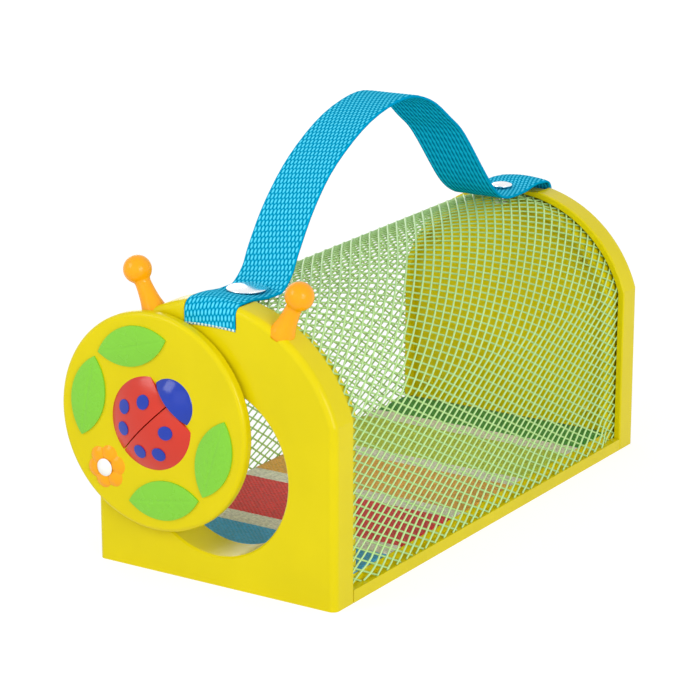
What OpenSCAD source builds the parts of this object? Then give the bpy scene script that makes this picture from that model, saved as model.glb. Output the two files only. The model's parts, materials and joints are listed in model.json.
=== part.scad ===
// Bug house: two moulded end panels on a ribbed base, an arched net between them,
// a swinging round door on the front, two ball-ended pegs and a webbing handle.
// X is the width, Y the length with the door at -Y, Z is up. The origin is on the
// ground at the middle of the base.

/* [Body] */
// Width over the end panels
body_w = 120; // [112:1:130]
// Length over the end panels
body_l = 264; // [230:1:300]
// Height of the straight sides
side_h = 78; // [74:1:90]
// Rise of the arch above the straight sides
arch_rise = 44; // [40:1:50]

/* [End panels] */
// Depth of a panel's rim
panel_d = 14; // [13:0.5:18]
// Thickness of a panel's outer wall
panel_wall = 3; // [2.6:0.1:3.6]
// Thickness of the rim round a panel
rim_t = 3; // [2.8:0.1:3.4]
// Rounding of a panel's outer edge
edge_r = 3; // [1.5:0.1:3.5]
// Rounding of the rim's inner edge
back_edge_r = 0.8; // [0.4:0.1:1]
// Thickness of the frame plate that closes a panel
frame_t = 2.5; // [2:0.1:3]
// How far the frame plate stands inside the rim's edge
frame_proud = 4; // [3:0.5:5]
// How far the flange stands inside the frame plate, as a lip under the net
frame_lip = 4.6; // [3:0.1:4.6]
// Height of the flange that the net is clamped on
flange_t = 2.4; // [2:0.1:3]

/* [Doorway] */
// Radius of the doorway
hole_r = 37; // [34:0.5:38]
// Height of the doorway's centre
hole_z = 50; // [46:0.5:51]
// Wall of the doorway's collar
collar_t = 2.4; // [1.8:0.1:2.6]
// Bevel round the doorway's outer edge
hole_bevel = 0.8; // [0.4:0.1:1.2]

/* [Door] */
// How far the door laps over the doorway's edge
door_overlap = 10; // [9:0.5:12]
// Height of the door's centre above the doorway's centre, when shut
door_lift = 6.4; // [6:0.1:8]
// Height of the pivot above the doorway's edge
pivot_rise = 5.6; // [5.2:0.1:6.5]
// Thickness of the door over its rim
door_t = 5; // [5:0.1:7]
// Thickness of the door's face
door_face_t = 2.5; // [2:0.1:3]
// Thickness of the door's rim
door_rim_t = 2.5; // [2:0.1:3]
// Rounding of the door's outer edge
door_edge_r = 2; // [1:0.1:2.4]
// Space between the door and the panel
door_gap = 1.2; // [0.8:0.1:2]
// Angle at which the door stands open
door_open = 46; // [0:1:100]
// Radius of the door's pivot post
post_r = 2.5; // [2.2:0.1:2.6]
// Radius of the boss round the pivot
pivot_boss_r = 5; // [4.5:0.1:5.5]
// Length of the pivot boss inside the panel
pivot_boss_l = 2; // [1.5:0.1:3]
// Radius of the pivot washer
door_washer_r = 4; // [3.6:0.1:4.4]
// Thickness of the pivot washer
door_washer_t = 0.8; // [0.5:0.1:1.2]

/* [Door picture] */
// Thickness of the leaves and the blossom
inlay_t = 1.6; // [1:0.1:2]
// Length of a leaf
leaf_l = 36; // [28:1:38]
// Width of a leaf
leaf_w = 17; // [12:1:18]
// Distance of the leaves and the blossom from the door's centre
wreath_r = 33; // [31:0.5:33.5]
// Radius of the beetle
beetle_r = 20; // [16:0.5:21]
// Height of the beetle's back
beetle_h = 5; // [3:0.1:6]
// Height of the beetle's neck above its middle
neck_y = 14; // [12:0.5:15]
// Radius of the beetle's head
head_r = 11; // [8:0.5:12]
// Height of the beetle's head
head_h = 4; // [2.5:0.1:5]
// Radius of a spot
spot_r = 3; // [2:0.1:3.2]
// Radius of a petal
petal_r = 4.2; // [3.5:0.1:4.5]
// Radius of the ring that the petals stand on
petal_ring_r = 5.5; // [5:0.1:6]
// Radius of the blossom's centre
bud_r = 3.8; // [3:0.1:4.2]
// Height of the blossom's centre above its petals
bud_h = 1.4; // [0.8:0.1:2]

/* [Base] */
// Height of the rails beside the net
rail_h = 5.5; // [5:0.1:7]
// Height of the deck
deck_h = 9.5; // [8:0.1:12]
// Thickness of the deck
deck_t = 2.5; // [2:0.1:3]
// Thickness of the base's ribs and skirt
rib_t = 2.4; // [2:0.1:3]
// Thickness of the floor of a panel
panel_floor_t = 3; // [2.6:0.1:3.2]
// Thickness of the striped floor mat
mat_t = 0.5; // [0.4:0.1:0.8]

/* [Net] */
// Thickness of the net
net_t = 1; // [0.8:0.1:1.1]
// Width of a strand
net_strand = 2.4; // [1.6:0.1:3]
// Rows of gaps on each straight side
net_side_rows = 7; // [6:1:8]
// Rows of gaps over the arch, an even number
net_arch_rows = 14; // [12:2:16]
// Columns of gaps along the length, an even number
net_cols = 14; // [12:2:16]
// Rows of gaps in each strip of the net over the arch
net_strip_rows = 2; // [1:1:2]
// Width of the slits between the net's strips
net_slit = 0.1; // [0.05:0.05:0.3]
// How far the net's ends stand inside the rims
net_tuck = 5.4; // [4:0.1:5.6]

/* [Handle] */
// Width of the webbing
strap_w = 25; // [20:1:30]
// Thickness of the webbing
strap_t = 1.5; // [1.2:0.1:1.7]
// Height of the handle's loop above its seat
loop_rise = 65.5; // [45:0.5:90]
// Distance from the front rivet to the loop's start
loop_front_lead = 7; // [6.5:0.5:12]
// Distance from the rear rivet to the loop's end
loop_rear_lead = 11; // [6.5:0.5:14]
// Length of webbing that hangs down a panel's face
strap_drop = 9; // [8:0.5:11]
// Radius of the webbing's bend over a panel
strap_bend_r = 4; // [4:0.1:4.6]
// Radius of the front rivet's cap
rivet_head_r = 8.5; // [7:0.1:8.6]
// Radius of the rear rivet's cap
rear_rivet_head_r = 5; // [4.8:0.1:8.6]
// Height of a rivet's cap
rivet_head_h = 1.5; // [1.2:0.1:2]
// Height of the rim round a rivet's cap
rivet_rim_h = 0.5; // [0.3:0.1:0.7]
// How far a rivet's cap stands above the webbing
rivet_lift = 1; // [0.9:0.1:1.4]
// Radius of a rivet's shank
rivet_r = 1.5; // [1.2:0.1:2]

/* [Pegs] */
// Distance of a peg from the panel's side
peg_in = 27.8; // [24:0.2:32]
// Distance of a peg from the panel's face
peg_back = 5.2; // [5:0.1:7]
// Tilt of a peg from upright
peg_tilt = 27; // [10:0.5:30]
// Radius of a peg's foot on the roof
foot_r = 5.3; // [4.6:0.1:5.6]
// Height of the flare from a peg's foot to its stem
foot_h = 5; // [4:0.5:6]
// Radius of a peg's stem, were it to reach the roof without a flare
stem_r = 4.2; // [3.6:0.1:4.5]
// Radius of a peg's stem under the ball
stem_tip_r = 3.1; // [2.5:0.1:3.5]
// Height of the ball's centre above the roof
ball_h = 17.3; // [14:0.1:22]
// Radius of the ball
ball_r = 6; // [5:0.1:6.4]
// Radius of the spigot in the roof
spigot_r = 2; // [1.6:0.1:2.2]
// Length of the spigot
spigot_l = 6; // [5:0.5:7]

/* [Screws] */
// Radius of a screw's shank
screw_r = 1.2; // [1:0.1:1.4]
// Radius of a screw's head
screw_head_r = 2.8; // [2.4:0.1:3.2]
// Height of a screw's head
screw_head_h = 1.6; // [1.2:0.1:1.8]
// Distance of the lower frame screws from the panel's sides
frame_screw_in = 16; // [14:0.5:18]
// Height of the lower frame screws
frame_screw_low = 18; // [15:0.5:20]
// Height of the upper frame screws above the straight sides
frame_screw_rise = 14; // [10:0.5:16]
// Radius of the bosses that the frame screws go into
frame_boss_r = 3.5; // [3:0.1:4]
// Distance of the base screws from the panels' faces
base_screw_back = 9; // [8.5:0.1:9.5]

/* [Hidden] */
$fn = 64;

// Clearances: a slip fit between still pieces, and the running fit of the pivot
fit = 0.1;
slack = 0.2;
run_fit = 0.05;
// A cut's overrun past the surface that it opens
over = 1;

// Outline of the arch: its radius, its centre's height and its top
half_w = body_w / 2;
arch_r = (half_w * half_w + arch_rise * arch_rise) / (2 * arch_rise);
arch_top = side_h + arch_rise;
arch_z = arch_top - arch_r;

// Stations along the front half, which the rear half mirrors
face_y = -body_l / 2;
rim_y = face_y + panel_d;
frame_y = rim_y + frame_proud;
plate_y = frame_y - frame_t;
tuck_y = rim_y - net_tuck;
lip_foot = deck_h + mat_t + slack;

// The net lies between the rim and the frame's flange
net_in = rim_t + slack;
flange_in = net_in + net_t + 2 * slack;
net_foot = rail_h + slack;
deck_in = net_in + net_t + 1.5 * slack;

// Door stations
door_r = hole_r + door_overlap;
door_z = hole_z + door_lift;
pivot_z = hole_z + hole_r + pivot_rise;
door_back_y = face_y - door_gap;
door_front_y = door_back_y - door_t;
boss_end_y = face_y + panel_wall + pivot_boss_l;
post_end_y = boss_end_y + fit;
pivot_pad_h = door_gap - slack;
door_screw_l = 7;

// Door picture: the leaves' turns round the door, and the spots in shares of the beetle's radius
LEAF_TURNS = [-34, 28, 152, 214];
SPOTS = [[0.4, 0.3], [0.62, -0.2], [0.3, -0.55]];
beetle_seam = 0.6;
spot_t = 0.4;
petals = 6;

// Net lattice
net_rows = 2 * net_side_rows + net_arch_rows;
net_half_l = -tuck_y;
NET_CUTS = concat([0], [for (row = [net_side_rows:net_strip_rows:net_rows - net_side_rows]) row], [net_rows]);
// The rivets go through gaps in the net's middle row
rivet_col = 2 - (net_rows / 2 + 1) % 2;
rivet_y = net_half_l * (1 - 2 * rivet_col / net_cols);

// Webbing stations
notch_d = strap_t + 3 * fit;
notch_w = strap_w + 6 * fit;
notch_z = arch_top - notch_d;
recess_d = strap_t + 2 * fit;
strap_rim_z = notch_z + fit + strap_t / 2;
strap_seat_z = arch_top - net_in + fit + strap_t / 2;
strap_face_y = face_y + recess_d - fit - strap_t / 2;
strap_end_z = strap_rim_z - strap_drop;
strap_slope_l = 5;
strap_pad_t = 2.6;
strap_pad_lap = 2;
lip_r = strap_bend_r - strap_t / 2 - fit;
// Form of the handle's loop, in shares of its span and its rise
LOOP = [[0, 0], [0.04, 0.09], [0.067, 0.225], [0.13, 0.476], [0.22, 0.713], [0.356, 0.919],
        [0.5, 1], [0.6, 0.935], [0.686, 0.768], [0.75, 0.624], [0.853, 0.285], [0.93, 0.1], [1, 0]];
loop_steps = 4;

// Rivet stations
rivet_seat_z = strap_seat_z + strap_t / 2 + run_fit;
washer_t = 0.8;
washer_r = 3.4;
rivet_boss_r = 4.5;
washer_top_z = arch_top - net_in - net_t - 2 * slack;
clinch_r = 2.6;
clinch_h = 0.8;

// Peg stations
peg_x = half_w - peg_in;
peg_y = face_y + peg_back;
peg_seat_z = arch_z + sqrt(arch_r * arch_r - peg_x * peg_x);

// Screw stations
frame_screw_x = half_w - frame_screw_in;
frame_screw_high = side_h + frame_screw_rise;
boss_arch_r = arch_r - flange_in - flange_t - frame_boss_r - slack;
frame_screw_high_x = sqrt(pow(boss_arch_r, 2) - pow(frame_screw_high - arch_z, 2));
frame_screw_l = 9;
base_screw_x = body_w / 4;
base_screw_y = face_y + base_screw_back;
base_screw_l = 3.4;
base_head_sunk = 0.3;
tongue_half_w = body_w / 3;
tongue_end_y = face_y + panel_wall + 2;

// Outline of the house's end, drawn in by a distance and cut off below a height
module arch_face(inset, bottom) {
    intersection() {
        union() {
            translate([0, arch_z]) circle(arch_r - inset);
            translate([-body_w, 0]) square([2 * body_w, arch_z]);
        }
        translate([inset - half_w, bottom]) square([body_w - 2 * inset, arch_top]);
    }
}

// A flat outline in X and Z, made solid between two stations along Y
module along_y(y0, y1) {
    translate([0, y1, 0]) rotate([90, 0, 0]) linear_extrude(y1 - y0) children();
}

// A cylinder along Y between two stations
module rod_y(x, z, y0, y1, r) {
    translate([x, y0, z]) rotate([-90, 0, 0]) cylinder(r = r, h = y1 - y0);
}

// Section of a disc with its first edge rounded by one radius and its last by another
module round_section(r, depth, first_r, last_r) {
    square([r - first_r, depth]);
    translate([0, first_r]) square([r - last_r, depth - first_r]);
    translate([0, first_r]) square([r, depth - first_r - last_r]);
    translate([r - first_r, first_r]) circle(first_r);
    translate([r - last_r, depth - last_r]) circle(last_r);
}

// A disc with rounded edges along Y, from its first face
module round_disc(y0, z, r, depth, first_r, last_r) {
    translate([0, y0, z]) rotate([-90, 0, 0]) rotate_extrude() round_section(r, depth, first_r, last_r);
}

// Radius of the sphere whose cap has this radius and height
function dome_r(r, h) = (r * r + h * h) / (2 * h);

// A low dome on the plane below it, with its sphere grown by a skin
module dome(r, h, skin) {
    translate([0, 0, h - dome_r(r, h)]) sphere(dome_r(r, h) + skin, $fn = 180);
}

// Outer form of an end panel: an arch with rounded edges on straight sides
module panel_block() {
    intersection() {
        union() {
            round_disc(face_y, arch_z, arch_r, panel_d, edge_r, back_edge_r);
            translate([-body_w, face_y, 0]) cube([2 * body_w, panel_d, arch_z]);
        }
        translate([0, face_y, 0]) linear_extrude(arch_top + over) {
            round_section(half_w, panel_d, edge_r, back_edge_r);
            mirror([1, 0]) round_section(half_w, panel_d, edge_r, back_edge_r);
        }
    }
}

// Places of the frame screws on a panel: low beside the doorway, and high under the flange's arch
module at_frame_screws() {
    places = [[frame_screw_x, frame_screw_low], [frame_screw_high_x, frame_screw_high]];
    for (side = [-1, 1], p = places) translate([side * p[0], 0, p[1]]) children();
}

// Hollow shell of a panel, with its screw bosses and the pad behind the webbing
module panel_shell() {
    difference() {
        panel_block();
        along_y(face_y + panel_wall, rim_y + over) arch_face(rim_t, panel_floor_t);
    }
    at_frame_screws() rod_y(0, 0, face_y + edge_r, plate_y - fit, frame_boss_r);
    intersection() {
        along_y(face_y + edge_r, face_y + panel_wall + strap_pad_t) arch_face(rim_t / 2, panel_floor_t);
        translate([-notch_w / 2 - strap_pad_lap, face_y, strap_end_z - strap_pad_lap])
            cube([notch_w + 2 * strap_pad_lap, panel_d, strap_drop + 2 * strap_pad_lap]);
    }
}

// What is cut from a panel: the webbing's notch with its round lip, and the screws' holes
module panel_cuts() {
    lip_y = face_y + recess_d + lip_r;
    lip_z = notch_z - lip_r;
    translate([-notch_w / 2, face_y - over, notch_z]) cube([notch_w, panel_d + 2 * over, notch_d + over]);
    translate([-notch_w / 2, face_y - over, strap_end_z - slack])
        cube([notch_w, recess_d + over, strap_drop + notch_d + over]);
    difference() {
        translate([-notch_w / 2, face_y - over, lip_z]) cube([notch_w, lip_y - face_y + over, lip_r + over]);
        translate([-notch_w, lip_y, lip_z]) rotate([0, 90, 0]) cylinder(r = lip_r, h = 2 * notch_w);
    }
    at_frame_screws() rod_y(0, 0, frame_y - frame_screw_l - fit, plate_y + over, screw_r + run_fit);
    for (side = [-1, 1]) translate([side * base_screw_x, base_screw_y, -over]) {
        cylinder(r = screw_r + slack, h = panel_floor_t + 2 * over);
        cylinder(r = screw_head_r + slack, h = over + base_head_sunk + screw_head_h);
    }
}

module front_panel() {
    color("gold") difference() {
        union() {
            panel_shell();
            rod_y(0, hole_z, face_y + edge_r, frame_y, hole_r + collar_t);
            rod_y(0, pivot_z, face_y - pivot_pad_h, boss_end_y, pivot_boss_r);
        }
        panel_cuts();
        rod_y(0, hole_z, face_y - over, frame_y + over, hole_r);
        translate([0, face_y, hole_z]) rotate([-90, 0, 0])
            cylinder(r1 = hole_r + hole_bevel, r2 = hole_r, h = hole_bevel);
        rod_y(0, pivot_z, face_y - door_gap, boss_end_y + over, post_r + run_fit);
        rod_y(0, pivot_z, boss_end_y, plate_y, door_washer_r + slack);
        for (side = [-1, 1]) at_peg(side)
            translate([0, 0, -spigot_l - over]) cylinder(r = spigot_r + fit, h = spigot_l + 3 * over);
    }
}

module rear_panel() {
    color("gold") mirror([0, 1, 0]) difference() {
        panel_shell();
        panel_cuts();
    }
}

// Plate that closes a panel, with the flange that the net is clamped on
module end_frame() {
    lip_y = min(frame_y + frame_lip, -rivet_y - washer_r - slack);
    difference() {
        union() {
            along_y(tuck_y, frame_y) arch_face(flange_in, net_foot);
            along_y(plate_y, lip_y) arch_face(flange_in, lip_foot);
        }
        along_y(tuck_y - over, plate_y) arch_face(flange_in + flange_t, net_foot + flange_t);
        along_y(frame_y, lip_y + over) arch_face(flange_in + flange_t, 0);
        at_frame_screws() rod_y(0, 0, plate_y - over, frame_y + over, screw_r + slack);
    }
}

module front_frame() {
    color("khaki") difference() {
        end_frame();
        rod_y(0, hole_z, tuck_y - over, frame_y + over, hole_r + collar_t + slack);
    }
}

module rear_frame() {
    color("khaki") mirror([0, 1, 0]) end_frame();
}

module base_tray() {
    deck_half_w = half_w - deck_in;
    deck_half_l = -frame_y - fit;
    rail_half_l = -rim_y - fit;
    pocket_half_w = deck_half_w - rib_t;
    pocket_half_l = deck_half_l - rib_t;
    rib_rows = [-2, -1, 0, 1, 2];
    color("goldenrod") {
        difference() {
            union() {
                translate([-half_w, -rail_half_l, 0]) cube([body_w, 2 * rail_half_l, rail_h]);
                translate([-deck_half_w, -deck_half_l, 0]) cube([2 * deck_half_w, 2 * deck_half_l, deck_h]);
                translate([-tongue_half_w, tongue_end_y, panel_floor_t + fit])
                    cube([2 * tongue_half_w, -2 * tongue_end_y, rail_h - panel_floor_t - fit]);
            }
            translate([-pocket_half_w, -pocket_half_l, -over])
                cube([2 * pocket_half_w, 2 * pocket_half_l, deck_h - deck_t + over]);
            at_base_screws() cylinder(r = screw_r + run_fit, h = deck_h);
        }
        translate([-rib_t / 2, -pocket_half_l - fit, 0])
            cube([rib_t, 2 * pocket_half_l + 2 * fit, deck_h - deck_t + fit]);
        for (row = rib_rows) translate([-pocket_half_w - fit, row * pocket_half_l / 3 - rib_t / 2, 0])
            cube([2 * pocket_half_w + 2 * fit, rib_t, deck_h - deck_t + fit]);
    }
}

module floor_mat() {
    mat_half_w = half_w - deck_in - slack;
    mat_half_l = -frame_y - screw_head_h;
    color("lightsteelblue") translate([-mat_half_w, -mat_half_l, deck_h])
        cube([2 * mat_half_w, 2 * mat_half_l, mat_t]);
}

// Point of the net's section: rows count from the left foot over the arch to the right foot
function net_section(row, inset) =
    let (side_x = half_w - inset,
         r = arch_r - inset,
         corner_z = arch_z + sqrt(r * r - side_x * side_x),
         sweep = asin(side_x / r),
         turn = -sweep + 2 * sweep * (row - net_side_rows) / net_arch_rows)
    row <= net_side_rows ? [-side_x, net_foot + (corner_z - net_foot) * row / net_side_rows]
    : row >= net_rows - net_side_rows
        ? [side_x, net_foot + (corner_z - net_foot) * (net_rows - row) / net_side_rows]
    : [r * sin(turn), arch_z + r * cos(turn)];

function net_point(row, col, inset) =
    let (p = net_section(row, inset)) [p[0], net_half_l * (2 * col / net_cols - 1), p[1]];

// A lattice point is the middle of a gap where its row and column add up to an odd number
function is_gap(row, col) =
    row > 0 && row < net_rows && col > 0 && col < net_cols && (row + col) % 2 == 1;

// A strip of the diamond net between two rows: strands cross at the even lattice points, each gap has
// four corners, and a gap on the strip's edge is cut in half
module net_strip(first, last) {
    row_h = (arch_r - net_in) * 2 * asin((half_w - net_in) / (arch_r - net_in)) * PI / 180 / net_arch_rows;
    col_l = 2 * net_half_l / net_cols;
    open = 1 - net_strand / 2 * norm([row_h, col_l]) / (row_h * col_l);
    trim = net_slit / 2 / row_h;
    wide = net_cols + 1;
    plain = (net_rows + 1) * wide;
    gaps = [for (row = [0:net_rows], col = [0:net_cols]) if (is_gap(row, col)) [row, col]];
    layer = plain + 3 * len(gaps);
    // Gaps in the rows before this one, and before this one in its row
    gap_no = function(row, col)
        floor((row - 1) / 2) * (net_cols - 1)
        + (row % 2 == 0 ? net_cols / 2 - 1 + (col - 1) / 2 : col / 2 - 1);
    // A gap's low corner takes its lattice point's number, and the other three follow the lattice
    corner = function(row, col, k)
        k == 0 ? row * wide + col : plain + 3 * gap_no(row, col) + k - 1;
    at = function(row, col, ks)
        is_gap(row, col) ? [for (k = ks) corner(row, col, k)] : [row * wide + col];
    in_strip = function(row) max(first + trim, min(last - trim, row));
    layer_points = function(inset) concat(
        [for (row = [0:net_rows], col = [0:net_cols])
            net_point(in_strip(is_gap(row, col) ? row - open : row), col, inset)],
        [for (g = gaps, step = [[0, open], [open, 0], [0, -open]])
            net_point(in_strip(g[0] + step[0]), g[1] + step[1], inset)]);
    patches = [for (row = [first:last - 1], col = [0:net_cols - 1])
        concat(at(row, col, [1, 2]), at(row + 1, col, [0, 1]),
               at(row + 1, col + 1, [3, 0]), at(row, col + 1, [2, 3]))];
    sheet = [for (p = patches, k = [1:len(p) - 2]) [p[0], p[k], p[k + 1]]];
    // The sides of a gap above its middle are the second and the third
    has_side = function(row, k)
        k == 1 || k == 2 ? row >= first && row < last : row > first && row <= last;
    edges = concat(
        [for (g = gaps, k = [0:3]) if (has_side(g[0], k))
            [corner(g[0], g[1], k), corner(g[0], g[1], (k + 1) % 4)]],
        [for (row = [first:last - 1]) [row * wide, (row + 1) * wide]],
        [for (row = [first:last - 1]) [(row + 1) * wide + net_cols, row * wide + net_cols]],
        [for (col = [0:net_cols - 1]) [at(last, col, [1])[0], at(last, col + 1, [3])[0]]],
        [for (col = [0:net_cols - 1]) [at(first, col + 1, [3])[0], at(first, col, [1])[0]]]);
    faces = concat(
        [for (f = sheet) [f[2], f[1], f[0]]],
        [for (f = sheet) [f[0] + layer, f[1] + layer, f[2] + layer]],
        [for (e = edges) [e[0], e[1], e[1] + layer]],
        [for (e = edges) [e[0], e[1] + layer, e[0] + layer]]);
    polyhedron(points = concat(layer_points(net_in), layer_points(net_in + net_t)), faces = faces);
}

// The net over both walls and the roof, parted by slits into strips that are nearly flat
module net_screen() {
    color("palegreen") for (k = [1:len(NET_CUTS) - 1]) net_strip(NET_CUTS[k - 1], NET_CUTS[k]);
}

// Point of a smooth curve through four points, between the second and the third
function curve_point(a, b, c, d, t) =
    (2 * b + (c - a) * t + (2 * a - 5 * b + 4 * c - d) * t * t + (3 * b - a - 3 * c + d) * t * t * t) / 2;

// One end of the webbing, from its cut end up a panel's face, over the rim and down to the net
function strap_end_path() = concat(
    [[strap_face_y, strap_end_z]],
    [for (turn = [180:-15:90])
        [strap_face_y + strap_bend_r + strap_bend_r * cos(turn),
         strap_rim_z - strap_bend_r + strap_bend_r * sin(turn)]],
    [[rim_y + over, strap_rim_z], [rim_y + over + strap_slope_l, strap_seat_z]]);

// The handle's loop between the rivets
function strap_loop_path() =
    let (y0 = loop_front_lead - rivet_y,
         y1 = rivet_y - loop_rear_lead,
         form = [for (p = LOOP) [y0 + (y1 - y0) * p[0], strap_seat_z + loop_rise * p[1]]],
         last = len(form) - 1,
         ends = concat([[-rivet_y, strap_seat_z]], form, [[rivet_y, strap_seat_z]]))
    concat([for (k = [1:last], s = [0:loop_steps - 1])
                curve_point(ends[k - 1], ends[k], ends[k + 1], ends[k + 2], s / loop_steps)],
           [form[last]]);

// A strip of even thickness along a path
function strip_outline(path, t) =
    let (last = len(path) - 1,
         shift = [for (k = [0:last])
             let (run = path[min(k + 1, last)] - path[max(k - 1, 0)])
             [-run[1], run[0]] / norm(run) * t / 2])
    concat([for (k = [0:last]) path[k] + shift[k]], [for (k = [last:-1:0]) path[k] - shift[k]]);

module carry_strap() {
    front = strap_end_path();
    rear = [for (k = [len(front) - 1:-1:0]) [-front[k][0], front[k][1]]];
    path = concat(front, strap_loop_path(), rear);
    color("deepskyblue") difference() {
        rotate([90, 0, 90]) translate([0, 0, -strap_w / 2]) linear_extrude(strap_w)
            polygon(strip_outline(path, strap_t));
        for (side = [-1, 1]) translate([0, side * rivet_y, strap_seat_z - strap_t])
            cylinder(r = rivet_r + fit, h = 2 * strap_t);
    }
}

// A tubular rivet: domed cap on a boss, shank and the clinched end under its washer
module rivet(side, head_r) {
    clinch_z = washer_top_z - washer_t - clinch_h - run_fit;
    cap_z = rivet_seat_z + rivet_lift;
    color("whitesmoke") translate([0, side * rivet_y, 0]) {
        intersection() {
            translate([0, 0, cap_z + rivet_rim_h]) dome(head_r, rivet_head_h - rivet_rim_h, 0);
            translate([0, 0, cap_z]) cylinder(r = head_r, h = 2 * rivet_head_h);
        }
        translate([0, 0, rivet_seat_z]) cylinder(r = rivet_boss_r, h = rivet_lift + rivet_rim_h);
        translate([0, 0, clinch_z]) cylinder(r = rivet_r, h = rivet_seat_z - clinch_z + rivet_lift);
        translate([0, 0, clinch_z]) cylinder(r = clinch_r, h = clinch_h);
    }
}

module front_rivet() {
    rivet(-1, rivet_head_r);
}

module rear_rivet() {
    rivet(1, rear_rivet_head_r);
}

module rivet_washers() {
    color("silver") for (side = [-1, 1]) translate([0, side * rivet_y, washer_top_z - washer_t]) difference() {
        cylinder(r = washer_r, h = washer_t);
        translate([0, 0, -over]) cylinder(r = rivet_r + fit, h = washer_t + 2 * over);
    }
}

// Places a peg on the roof, leaning out to one side
module at_peg(side) {
    translate([side * peg_x, peg_y, peg_seat_z]) rotate([0, side * peg_tilt, 0]) children();
}

// A ball-ended peg, its stem cut to the roof, with a spigot in the rim
module peg(side) {
    color("orange") {
        difference() {
            at_peg(side) {
                translate([0, 0, -foot_r]) cylinder(r = foot_r, h = foot_r);
                cylinder(r1 = foot_r, r2 = stem_r + (stem_tip_r - stem_r) * foot_h / ball_h, h = foot_h);
                cylinder(r1 = stem_r, r2 = stem_tip_r, h = ball_h);
                translate([0, 0, ball_h]) sphere(ball_r);
            }
            rod_y(0, arch_z, face_y - panel_d, rim_y + panel_d, arch_r + run_fit);
        }
        at_peg(side) translate([0, 0, -spigot_l]) cylinder(r = spigot_r, h = spigot_l + stem_r);
    }
}

module left_peg() {
    peg(-1);
}

module right_peg() {
    peg(1);
}

// A pan-head screw along Z, its head under the origin and its shank above
module screw(l) {
    translate([0, 0, -screw_head_h]) cylinder(r = screw_head_r, h = screw_head_h);
    translate([0, 0, -screw_head_h / 2]) cylinder(r = screw_r, h = l + screw_head_h / 2);
}

// Screws that hold a frame on its panel, from inside the house
module frame_screws() {
    color("silver") at_frame_screws() translate([0, frame_y + run_fit, 0]) rotate([90, 0, 0]) screw(frame_screw_l);
}

module front_screws() {
    frame_screws();
}

module rear_screws() {
    mirror([0, 1, 0]) frame_screws();
}

module at_base_screws() {
    for (side = [-1, 1], end = [-1, 1]) translate([side * base_screw_x, end * base_screw_y, 0]) children();
}

// Screws that hold the base's tongues on the panels, from below
module base_screws() {
    color("silver") at_base_screws() translate([0, 0, base_head_sunk + screw_head_h - run_fit])
        screw(base_screw_l);
}

// Turns the door's pieces about the pivot, from shut to the angle at which the door stands
module at_door() {
    translate([0, 0, pivot_z]) rotate([0, door_open, 0]) translate([0, 0, -pivot_z]) children();
}

// Dished disc with the post that it turns on
module door_disc() {
    color("gold") at_door() difference() {
        union() {
            difference() {
                round_disc(door_front_y, door_z, door_r, door_t, door_edge_r, back_edge_r);
                rod_y(0, door_z, door_front_y + door_face_t, door_back_y + over, door_r - door_rim_t);
            }
            rod_y(0, pivot_z, door_front_y + door_face_t / 2, door_back_y, pivot_boss_r);
            rod_y(0, pivot_z, door_back_y - fit, post_end_y, post_r);
        }
        rod_y(0, pivot_z, post_end_y - door_screw_l, post_end_y + over, screw_r + run_fit);
    }
}

module door_washer() {
    color("silver") at_door() difference() {
        rod_y(0, pivot_z, post_end_y, post_end_y + door_washer_t, door_washer_r);
        rod_y(0, pivot_z, post_end_y - over, post_end_y + door_washer_t + over, screw_r + fit);
    }
}

module door_screw() {
    color("silver") at_door() translate([0, post_end_y + door_washer_t + run_fit, pivot_z]) rotate([90, 0, 0])
        screw(door_screw_l);
}

// The door's face, with its own X and Y, and Z out of the door
module on_door() {
    at_door() translate([0, door_front_y, door_z]) rotate([90, 0, 0]) children();
}

// Wreath of pointed leaves, each between two arcs, open at the top and the bottom
module leaf_wreath() {
    r = (leaf_l * leaf_l + leaf_w * leaf_w) / (4 * leaf_w);
    color("limegreen") on_door() for (turn = LEAF_TURNS) rotate(turn) translate([wreath_r, 0, 0])
        linear_extrude(inlay_t) intersection() {
            translate([leaf_w / 2 - r, 0]) circle(r);
            translate([r - leaf_w / 2, 0]) circle(r);
        }
}

// Half of the beetle's back, parted from the other by a seam and cut off at the neck
module beetle_wing(side) {
    color("firebrick") on_door() intersection() {
        dome(beetle_r, beetle_h, 0);
        mirror([side < 0 ? 1 : 0, 0, 0]) translate([beetle_seam / 2, -beetle_r, 0])
            cube([beetle_r, beetle_r + neck_y, beetle_h]);
    }
}

module beetle_wing_left() {
    beetle_wing(-1);
}

module beetle_wing_right() {
    beetle_wing(1);
}

module beetle_head() {
    color("mediumblue") on_door() intersection() {
        translate([0, neck_y, 0]) dome(head_r, head_h, 0);
        translate([-head_r, neck_y + beetle_seam, 0]) cube([2 * head_r, head_r, head_h]);
    }
}

module beetle_spots() {
    color("mediumblue") on_door() for (side = [-1, 1], s = SPOTS) intersection() {
        difference() {
            dome(beetle_r, beetle_h, spot_t);
            dome(beetle_r, beetle_h, run_fit / 2);
        }
        translate([side * s[0] * beetle_r, s[1] * beetle_r, 0]) cylinder(r = spot_r, h = 2 * beetle_h);
    }
}

// Blossom of round petals at the wreath's foot
module at_blossom() {
    on_door() translate([0, -wreath_r, 0]) children();
}

module blossom_petals() {
    color("orange") at_blossom() linear_extrude(inlay_t) {
        circle(petal_ring_r);
        for (k = [1:petals]) rotate(k * 360 / petals) translate([petal_ring_r, 0]) circle(petal_r);
    }
}

module blossom_centre() {
    color("white") at_blossom() translate([0, 0, inlay_t]) intersection() {
        dome(bud_r, bud_h, 0);
        cylinder(r = 2 * bud_r, h = bud_h);
    }
}

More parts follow.
